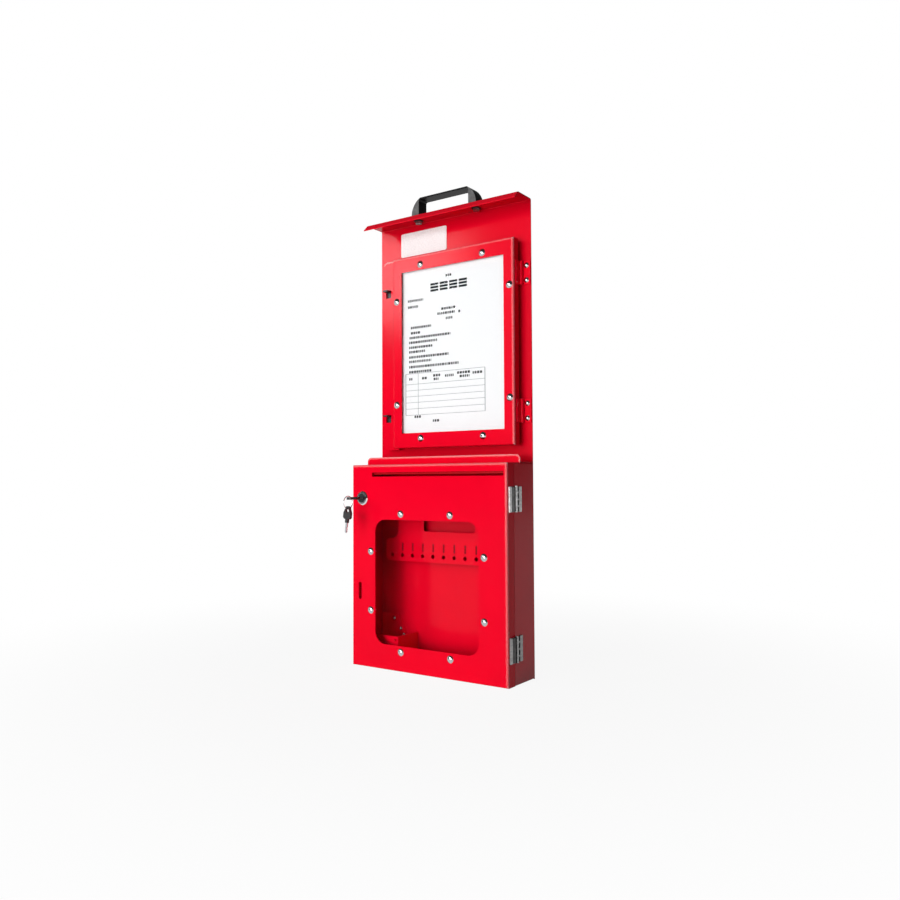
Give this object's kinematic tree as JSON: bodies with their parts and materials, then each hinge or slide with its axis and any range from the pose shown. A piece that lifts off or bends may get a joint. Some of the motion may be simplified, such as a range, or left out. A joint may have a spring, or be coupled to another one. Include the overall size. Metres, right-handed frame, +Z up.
{
  "type": "lockout station",
  "caption": "Sheet-steel lockout cabinet with a windowed, keyed door, a drop slot and an inner key rack, below a board with a canopy, carry handle and hinged lockable permit frame.",
  "frame": {"origin": "centre of the cabinet's footprint, on the surface it stands on", "axes": "+Z up, -Y towards the person facing the door, +X to that person's right"},
  "size_m": [0.3051, 0.1278, 0.7803],
  "materials": {
    "red_enamel": "glossy red powder coat over folded steel sheet",
    "dark_red_enamel": "red powder coat, thin",
    "clear_plastic": "clear polished sheet, standing in for polycarbonate",
    "black_rubber": "matt",
    "chrome_screw": "polished",
    "zinc": "bright zinc plate",
    "hinge_steel": "brushed",
    "lock_chrome": "polished",
    "black_plug": "smooth",
    "black_plastic": "fine grain",
    "black_enamel": "satin black coat",
    "white_board": "satin white coat",
    "white_paper": "matt",
    "white_label": "satin",
    "magnet": "smooth"
  },
  "bodies": {
    "station": {"cabinet_shell": "red_enamel", "back_board": "red_enamel", "board_rivets": "zinc", "top_tray": "red_enamel", "door_hinge_fixed_leaves": "hinge_steel", "door_hinge_pads": "black_rubber", "door_hinge_pins": "hinge_steel", "frame_hinge_fixed_leaves": "red_enamel", "frame_hinge_pins": "zinc", "frame_hinge_screws": "chrome_screw", "frame_base": "red_enamel", "document_panel": "white_board", "permit_sheet": "white_paper", "sheet_magnets": "magnet", "lock_staples": "black_enamel", "carry_handle": "black_plastic", "handle_bolts": "zinc", "handle_washers": "zinc", "label_plate": "white_label", "key_rack": "red_enamel", "rack_spacers": "zinc", "rack_screws": "chrome_screw", "key_bin": "red_enamel", "bin_screws": "chrome_screw"},
    "door": {"cabinet_door": "red_enamel", "slot_baffle": "dark_red_enamel", "window_gasket": "black_rubber", "door_window": "clear_plastic", "window_screws": "chrome_screw", "window_nuts": "zinc", "lock_housing": "lock_chrome", "lock_nut": "zinc", "door_hinge_door_leaves": "hinge_steel"},
    "permit_cover": {"frame_cover": "red_enamel", "frame_pane": "clear_plastic", "frame_screws": "chrome_screw", "frame_nuts": "zinc", "frame_hinge_cover_leaves": "red_enamel"},
    "lock_core": {"lock_plug": "black_plug", "lock_cam": "zinc", "cam_bolt": "zinc"},
    "key": {"key_blade": "zinc", "key_head": "black_plastic"},
    "ring": {"key_ring": "lock_chrome"},
    "spare_key": {"spare_key_blade": "zinc", "spare_key_head": "black_plastic"}
  },
  "joints": [
    {"name": "door_hinge", "type": "hinge", "parent": "station", "child": "door", "pos_m": [0.1529, -0.01835, 0.166], "axis": [0, 0, 1], "range_deg": [0, 120]},
    {"name": "permit_cover_hinge", "type": "hinge", "parent": "station", "child": "permit_cover", "pos_m": [0.1345, 0.0345, 0.522], "axis": [0, 0, 1], "range_deg": [0, 90]},
    {"name": "lock_turn", "type": "hinge", "parent": "door", "child": "lock_core", "pos_m": [-0.1277, -0.03, 0.2767], "axis": [0, 1, 0], "range_deg": [0, 90]},
    {"name": "key_pull", "type": "slide", "parent": "lock_core", "child": "key", "axis": [0, -1, 0], "range_m": [0, 0.012]},
    {"name": "ring_swing", "type": "hinge", "parent": "key", "child": "ring", "pos_m": [-0.1277, -0.0695, 0.2767], "axis": [0, 1, 0], "range_deg": [-15, 15]},
    {"name": "spare_key_swing", "type": "hinge", "parent": "ring", "child": "spare_key", "pos_m": [-0.1277, -0.07663, 0.2595], "axis": [0, 1, 0], "range_deg": [-20, 20]}
  ]
}
